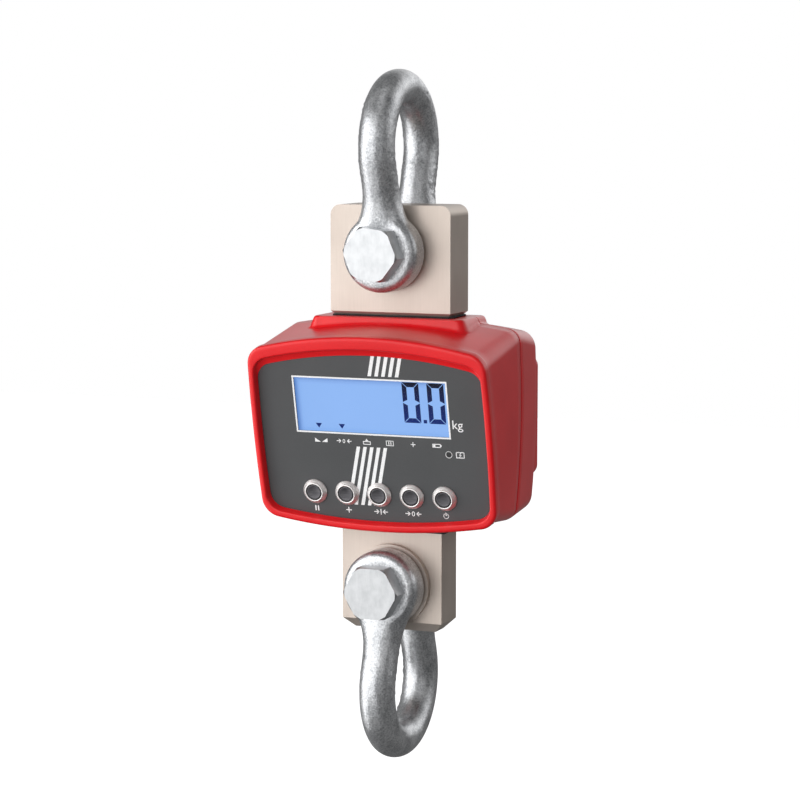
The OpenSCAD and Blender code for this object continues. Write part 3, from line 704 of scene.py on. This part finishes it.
def arrow_sign(u, v, towards, size):
    """A short arrow that ends at u; towards is 1 to point right and -1 to point left."""
    barb = u - towards * size * 0.45
    head = [(barb, v + size * 0.42), (u, v), (barb, v - size * 0.42)]
    return stroke([(u - towards * size, v), (u, v)], fine) + stroke(head, fine)


print_top = 4.93
print_base = 5.02
fine = 0.5
marks = []


def upright(u, v, half, width=fine):
    return stroke([(u, v - half), (u, v + half)], width)


def level_bar(u, v, half, width=fine):
    return stroke([(u - half, v), (u + half, v)], width)


frame_left, frame_right, frame_low, frame_high = -51.2, 51.2, -2.2, 34.6
inner_left, inner_right, inner_low, inner_high = -50.2, 50.2, -1.2, 33.6
for left, right, low, high in (
    (frame_left, frame_right, frame_low, inner_low), (frame_left, frame_right, inner_high, frame_high),
    (frame_left, inner_left, inner_low, inner_high), (inner_right, frame_right, inner_low, inner_high),
):
    marks.append([(left, low), (right, low), (right, high), (left, high)])

slant = 0.25
bar_step = 4.5
bar_width = 2.3
for low, high in ((36.2, 49.2), (-48.5, -10.0)):
    for k in range(5):
        at_low, at_high = [-0.4 + bar_step * k + (v - 35.2) * slant for v in (low, high)]
        marks.append([(at_low, low), (at_low + bar_width, low), (at_high + bar_width, high), (at_high, high)])

row = -6.8
marks += [[(-39.4, row + 1.3), (-35.6, row - 1.3), (-39.4, row - 1.3)],
          [(-31.0, row + 1.3), (-34.8, row - 1.3), (-31.0, row - 1.3)]]
marks += arrow_sign(-22.0, row, 1, 2.6) + arrow_sign(-17.6, row, -1, 2.6)
marks += stroke(box_line(-4.6, row - 0.5, 4.6, 1.8), fine) + upright(-4.6, row + 1.3, 0.7)
marks += stroke([(-5.4, row + 1.3), (-4.6, row + 0.6), (-3.8, row + 1.3)], fine)
marks += stroke(box_line(10.7, row, 4.6, 3.0), 0.4)
marks += upright(10.0, row, 0.8, 0.55) + upright(11.4, row, 0.8, 0.55)
marks += level_bar(26.0, row, 1.4) + upright(26.0, row, 1.4)
marks += stroke(box_line(41.4, row, 5.0, 2.0), fine) + upright(44.4, row, 0.4, 0.6)
marks.append([(38.8, row - 1.0), (40.6, row - 1.0), (40.6, row + 1.0), (38.8, row + 1.0)])

light_u = 49
light_v = -12.2
charge_u = 56.4
marks += stroke(loop_points(light_u, light_v, 2.05, 0, 360, 36), 0.38)
marks += stroke(box_line(charge_u, light_v, 5.0, 3.4), fine)
marks += level_bar(charge_u - 0.95, light_v + 1.9, 0.45, 0.6)
marks += level_bar(charge_u + 1.25, light_v + 1.9, 0.45, 0.6)
marks += stroke([(charge_u + 0.5, light_v + 1.3), (charge_u - 0.5, light_v), (charge_u + 0.5, light_v),
                 (charge_u - 0.5, light_v - 1.3)], 0.38)

button_step = 21.6
button_shift = 0.7
button_v = -41
button_u = [button_shift + k * button_step for k in (-2, -1, 0, 1, 2)]
hold_u, memory_u, tare_u, zero_u, power_u = button_u
label = -52.3
marks += upright(hold_u - 0.9, label, 1.5, 0.75) + upright(hold_u + 0.9, label, 1.5, 0.75)
marks += level_bar(memory_u, label, 1.7, 0.6) + upright(memory_u, label, 1.7, 0.6)
marks += arrow_sign(tare_u - 1.4, label, 1, 3.0) + arrow_sign(tare_u + 1.4, label, -1, 3.0)
marks += upright(tare_u, label, 1.7, 0.55)
marks += arrow_sign(zero_u - 2.2, label, 1, 3.0) + arrow_sign(zero_u + 2.2, label, -1, 3.0)
marks += stroke(loop_points(power_u, label - 0.2, 1.6, 125, 415, 24), fine)
marks += upright(power_u, label + 1.0, 0.9)
shape = bmesh.new()
for outline in marks:
    stamp(shape, outline, print_top, print_base)


def stamp_sign(shape, text, u, v, height):
    """A digit or unit in the plain built-in letter, its lower left corner at u and v."""
    curve = bpy.data.curves.new("sign", "FONT")
    curve.body = text
    curve.size = height / 0.72
    curve.extrude = (print_base - print_top) / 2
    holder = bpy.data.objects.new("sign", curve)
    bpy.context.scene.collection.objects.link(holder)
    ready = holder.evaluated_get(bpy.context.evaluated_depsgraph_get())
    flat = bpy.data.meshes.new_from_object(ready)
    bpy.data.objects.remove(holder)
    for vertex in flat.vertices:
        a, b, c = vertex.co
        vertex.co = on_face(u + a, v + b, (print_top + print_base) / 2 - c)
    shape.from_mesh(flat)


stamp_sign(shape, "kg", 52.4, 4.6, 5.8)
stamp_sign(shape, "0", -20.9, row - 1.35, 2.7)
stamp_sign(shape, "0", zero_u - 1.2, label - 1.65, 3.3)
put("panel_print", solid_mesh("panel_print", shape, 20), white_ink, "scale_body", "panel_grey")


# ---- Display ----
# A backlit liquid crystal glass behind a clear acrylic window, with segment digits 26 mm high.
# The segments and the two small pointers are dark where the crystal blocks the blue backlight.

window_clear, shader, place = new_finish("clear_acrylic", {
    "Base Color": (0.02, 0.02, 0.03, 1), "IOR": 1.49})
smudge = grain(place, 40, 3.0)
(0.04 + smudge * 0.06).into(shader, "Roughness")
(0.05 + smudge * 0.04).into(shader, "Alpha")
dress("display_window", window_clear)


def up_the_face(place):
    """The material's distance up the tilted face from its middle, in metres."""
    x, y, z = parts_of(place)
    return (z - RIM_MIDDLE * MM) * math.cos(TILT) - (y + RIM_REACH * MM) * math.sin(TILT)


crystal, shader, place = new_finish("backlit_crystal", {
    "Base Color": (0.02, 0.03, 0.05, 1), "Roughness": 0.35, "Emission Strength": 0.95})
x, y, z = parts_of(place)
# Painted shadow: the crystal's glow fades to a darker blue along its top and left edges, where the window
# frame shades it.
from_top = (0.0332 - up_the_face(place)) * 220.0
from_left = (x - frame_left * MM) * 260.0
frame_shaded_glow = from_top.math("MINIMUM", from_left).math("MAXIMUM", 0.0).math("MINIMUM", 1.0)
cloud = grain(place, 30, 2.0)
dots = grain(place, 3000, 1.0)
level = frame_shaded_glow * 0.8 + cloud * 0.14 + dots * 0.06
blend_colours(level, [(0.05, (0.10, 0.22, 0.55)), (0.55, (0.23, 0.42, 0.86)), (0.9, (0.27, 0.49, 0.95))]
              ).into(shader, "Emission Color")
dress("lcd_module", crystal)

backlight_glow, shader, place = new_finish("backlight_diffuser", {"Emission Strength": 0.6})
frost = grain(place, 400, 2.0)
blend_colours(frost, [(0.3, (0.75, 0.80, 0.90)), (0.7, (0.92, 0.95, 1.0))]).into(shader, "Base Color")
blend_colours(frost, [(0.3, (0.6, 0.7, 0.9)), (0.7, (0.8, 0.88, 1.0))]).into(shader, "Emission Color")
dress("backlight", backlight_glow)

segment_dark, shader, place = new_finish("dark_segments", {
    "Roughness": 0.5, "Emission Strength": 0.2, "Specular IOR Level": 0.2})
# Painted shade: the segments' colour and faint glow go from deep blue low on the display to near black
# towards its top.
rise = (up_the_face(place) - 0.004) / 0.030 + grain(place, 300, 2.0) * 0.1
for socket in ("Base Color", "Emission Color"):
    blend_colours(rise, [(0.1, (0.003, 0.020, 0.16)), (0.6, (0.002, 0.010, 0.08)),
                         (1.0, (0.001, 0.003, 0.012))]).into(shader, socket)


def zero_segments(left, low):
    """The six lit segments of a zero, 11 mm wide and 26 mm high, with thin gaps between them."""
    wide, high, thick, gap = 11.0, 26.0, 3.0, 0.28
    middle = high / 2
    inner = middle + gap + thick * 0.5
    top = [(gap, high), (wide - gap, high), (wide - gap - thick, high - thick), (gap + thick, high - thick)]
    upper_right = [(wide, high - gap), (wide, middle + gap), (wide - thick, inner),
                   (wide - thick, high - thick - gap)]
    shapes = [top, upper_right]
    shapes.append([(wide - a, b) for a, b in upper_right])
    shapes += [[(a, high - b) for a, b in part] for part in list(shapes)]
    return [[(left + a, low + b) for a, b in part] for part in shapes]


shape = bmesh.new()
digit_low = 6.0
digit_step = 16.3
second_left = 36.6
segments = zero_segments(second_left, digit_low) + zero_segments(second_left - digit_step, digit_low)
point_left = second_left - 3.7
segments.append([(point_left, digit_low + 0.1), (point_left + 2.2, digit_low + 0.1),
                 (point_left + 2.2, digit_low + 2.3), (point_left, digit_low + 2.3)])
for u in (-37.4, -21.9):
    segments.append([(u - 2.1, 3.0), (u + 2.1, 3.0), (u, -0.1)])
segment_top = 8.40
segment_base = 8.48
for outline in segments:
    stamp(shape, outline, segment_top, segment_base)
put("display_segments", solid_mesh("display_segments", shape, 20), segment_dark, "scale_body", "lcd")


# ---- Push buttons and the charge light ----
# Five stainless push switches through the panel, each with a turned bezel and a flat cap that presses in.
# The bezel keeps its fine turning rings on the cone, and has a narrow raised lip round the cap.

stainless, shader, place = new_finish("turned_stainless", {"Metallic": 1.0})
x, y, z = parts_of(place)
above = up_the_face(place) - button_v * MM
steps_past = (x - button_shift * MM) / (button_step * MM) + 2.5
across = (steps_past.math("FRACT") - 0.5) * (button_step * MM)
radius = (across * across + above * above).math("SQRT")
rings_cut = (radius * 21000.0).math("SINE") * 0.5 + 0.5
film = grain(place, 500, 3.0)
blend_colours(film * 0.7 + rings_cut * 0.3, [(0.3, (0.82, 0.79, 0.78)), (0.7, (0.95, 0.93, 0.92))]
              ).into(shader, "Base Color")
(0.40 + film * 0.12 + rings_cut * 0.05).into(shader, "Roughness")
emboss(shader, rings_cut * 0.5 + film * 0.5, 0.00004, 0.25)

shape = bmesh.new()
bezel = [(7.9, 5.0), (8.0, 4.75), (7.98, 4.45), (7.8, 4.15), (6.5, 2.75), (6.25, 2.5), (6.1, 2.2),
         (5.95, 2.05), (5.75, 2.0), (5.5, 2.02), (5.3, 2.15), (5.2, 2.5), (5.15, 3.2), (5.12, 9.0),
         (5.9, 9.0), (5.9, 5.0)]
turned_ring(shape, bezel, lambda a, b, depth: on_face(button_u[0] + a, button_v + b, depth), 56)
bezels = in_a_row(solid_mesh("bezel_row", shape, 32), 5, (button_step * MM, 0, 0), stainless)
put("bezel_row", bezels, stainless, "scale_body", "stainless", "button_bezels")

cap_steel, shader, place = new_finish("satin_cap_steel", {"Metallic": 1.0})
satin = grain(place, 1400, 3.0, (0.15, 1, 1))
blend_colours(satin, [(0.3, (0.095, 0.092, 0.10)), (0.7, (0.135, 0.132, 0.14))]).into(shader, "Base Color")
(0.28 + satin * 0.14).into(shader, "Roughness")
emboss(shader, satin, 0.00004, 0.3)
for k, node in enumerate(("hold_button", "memory_button", "tare_button", "zero_button", "power_button")):
    shape = bmesh.new()
    cap = [(0.001, 2.42), (3.9, 2.42), (4.05, 2.36), (4.4, 2.34), (4.58, 2.42), (4.66, 2.62), (4.68, 4.2),
           (2.2, 4.3), (2.2, 7.4), (0.001, 7.4)]
    turned_ring(shape, cap, lambda a, b, depth: on_face(button_u[k] + a, button_v + b, depth), 48)
    put(node + "_cap", solid_mesh(node + "_cap", shape, 30), cap_steel, node, "stainless", node)

black_mould, shader, place = new_finish("black_moulded_plastic", {"Specular IOR Level": 0.45})
spark = grain(place, 1300, 2.0)
blend_colours(spark, [(0.3, (0.014, 0.014, 0.015)), (0.7, (0.030, 0.030, 0.032))]
              ).into(shader, "Base Color")
(0.38 + spark * 0.2).into(shader, "Roughness")
emboss(shader, spark, 0.0001, 0.4)
for node in ("button_switches", "board_parts", "board_ribbon", "battery_tray", "charging_socket",
             "status_light"):
    dress(node, black_mould)


# ---- Boards and battery ----
# Two glass-fibre boards stand on spacers behind the panel, joined by a ribbon.
# Four cells lie in a tray that opens at the back, under a cast cover with a rubber seal.

board_mask, shader, place = new_finish("solder_mask", {"Specular IOR Level": 0.5})
x, y, z = parts_of(place)
track = (x * 2600.0).math("SINE") * (z * 1900.0).math("SINE")
copper = track.math("GREATER_THAN", 0.35) * 0.6 + grain(place, 300, 2.0) * 0.4
blend_colours(copper, [(0.3, (0.010, 0.10, 0.045)), (0.75, (0.03, 0.24, 0.10))]).into(shader, "Base Color")
(0.3 + copper * 0.2).into(shader, "Roughness")
for node in ("display_board", "main_board"):
    dress(node, board_mask)

cell_sleeve, shader, place = new_finish("shrunk_cell_sleeve", {})
x, y, z = parts_of(place)
wrinkle = grain(place, 240, 3.0, (1, 1, 0.3))
band = z.math("GREATER_THAN", -0.180) * 0.5 + wrinkle * 0.5
blend_colours(band, [(0.3, (0.06, 0.16, 0.38)), (0.7, (0.62, 0.64, 0.68))]).into(shader, "Base Color")
(0.22 + wrinkle * 0.2).into(shader, "Roughness")
dress("battery_cells", cell_sleeve)
dress("battery_cover", red_coat)

cover_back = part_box("battery_cover")[1].y / MM
rib_step = 6.0
rib_count = 10
first_rib = -rib_step * (rib_count - 1) / 2
rib_half = 15.9
rib_radius = 1.5
rib_rings = []
for inset, proud in ((0.0, -0.3), (0.0, 0.25), (0.3, 0.55), (0.8, 0.65)):
    loop = []
    for k in range(24):
        t = 2 * math.pi * k / 24
        end = rib_half if math.sin(t) >= 0 else -rib_half
        loop.append(Vector((first_rib + (rib_radius - inset) * math.cos(t), cover_back + proud,
                            JOINT_MIDDLE + end + (rib_radius - inset) * math.sin(t))) * MM)
    rib_rings.append(loop)
shape = bmesh.new()
made = skin_rings(shape, rib_rings)
shape.faces.new(made[0])
shape.faces.new(made[-1])
ribs = in_a_row(solid_mesh("cover_ribs", shape, 50), rib_count, (rib_step * MM, 0, 0), red_coat)
put("cover_ribs", ribs, red_coat, "scale_body", "red_coat")


# ---- Stage: camera, floor and lights ----
# A pale floor lies well below the hanging scale. A large soft light at the front left is helped by a
# tall one at the left and weaker ones at the right, below and above. What the coat and the shackles
# reflect is a grey room with a bright wall behind the scale.

azimuth = math.radians(22.11)
drop = math.radians(6.44)
reach = 1.6587
look_at = Vector((0.0004, 0.0, -0.1841))
forward = Vector((-math.sin(azimuth) * math.cos(drop), math.cos(azimuth) * math.cos(drop),
                  -math.sin(drop)))
camera_data = bpy.data.cameras.new("camera")
camera_data.lens = 118.9
camera_data.sensor_width = 36
camera = bpy.data.objects.new("camera", camera_data)
camera.location = look_at - forward * reach
camera.rotation_euler = forward.to_track_quat("-Z", "Y").to_euler()
bpy.context.scene.collection.objects.link(camera)
bpy.context.scene.camera = camera

floor_paint, shader, place = new_finish("pale_floor", {
    "Base Color": (0.9, 0.9, 0.9, 1), "Roughness": 0.9,
    "Emission Color": (1, 1, 1, 1), "Emission Strength": 0.9})
floor_height = -0.95
shape = bmesh.new()
bmesh.ops.create_grid(shape, x_segments=8, y_segments=8, size=6)
for vertex in shape.verts:
    vertex.co.z = floor_height
floor_mesh = bpy.data.meshes.new("floor")
shape.to_mesh(floor_mesh)
shape.free()
floor_mesh.materials.append(floor_paint)
floor = bpy.data.objects.new("floor", floor_mesh)
floor.visible_glossy = False
floor.visible_diffuse = False
bpy.context.scene.collection.objects.link(floor)


def soft_light(name, bearing, height, distance, wide, high, power):
    """An oblong light that faces the scale; bearing 0 is in front of it and positive to its right."""
    lamp = bpy.data.lights.new(name, "AREA")
    lamp.shape = "RECTANGLE"
    lamp.size = wide
    lamp.size_y = high
    lamp.energy = power
    holder = bpy.data.objects.new(name, lamp)
    turn = math.radians(bearing)
    holder.location = Vector((math.sin(turn) * distance, -math.cos(turn) * distance, height))
    facing = look_at - holder.location
    holder.rotation_euler = facing.to_track_quat("-Z", "Y").to_euler()
    bpy.context.scene.collection.objects.link(holder)


soft_light("front_left", -28, 0.20, 1.7, 2.7, 1.9, 32)
soft_light("tall_left", -70, -0.35, 1.5, 0.9, 2.4, 13)
soft_light("front_right", 38, 0.25, 1.7, 1.4, 1.2, 2.8)
soft_light("front_low", -20, -0.85, 1.1, 1.6, 0.6, 2.2)
soft_light("overhead", 25, 1.5, 0.5, 0.8, 0.6, 1)

world = bpy.data.worlds.new("studio")
world.use_nodes = True
sky = world.node_tree
surround = Signal(sky)
ray = surround.node("ShaderNodeLightPath", {}, {}, "Is Camera Ray")
to_right, to_back, upwards = parts_of(surround.node("ShaderNodeTexCoord", {}, {}, "Generated"))
behind = (to_back * 1.6 + to_right * 0.9 - 0.5).math("MAXIMUM", 0.0).math("MINIMUM", 1.0)
lift = upwards * 0.5 + 0.5
wall = surround.node("ShaderNodeValToRGB", {"stops": [
    (0.50, (0.02, 0.02, 0.02)), (0.60, (1, 1, 1)), (0.76, (0.9, 0.9, 0.9)), (0.86, (0.0, 0.0, 0.0))]},
    {"Fac": lift}, "Color")
shine = wall * behind * 0.9 + 0.1
room = blend_colours(shine, [(0.0, (0.0, 0.0, 0.0)), (1.0, (1.0, 1.0, 1.0))])
seen = surround.node("ShaderNodeMix", {"data_type": "RGBA"}, {0: ray, 6: room, 7: (1, 1, 1, 1)}, 2)
seen.into(sky.nodes["Background"], "Color")
(1.35 - ray * 0.35).into(sky.nodes["Background"], "Strength")
bpy.context.scene.world = world
bpy.context.scene.view_settings.view_transform = "Standard"
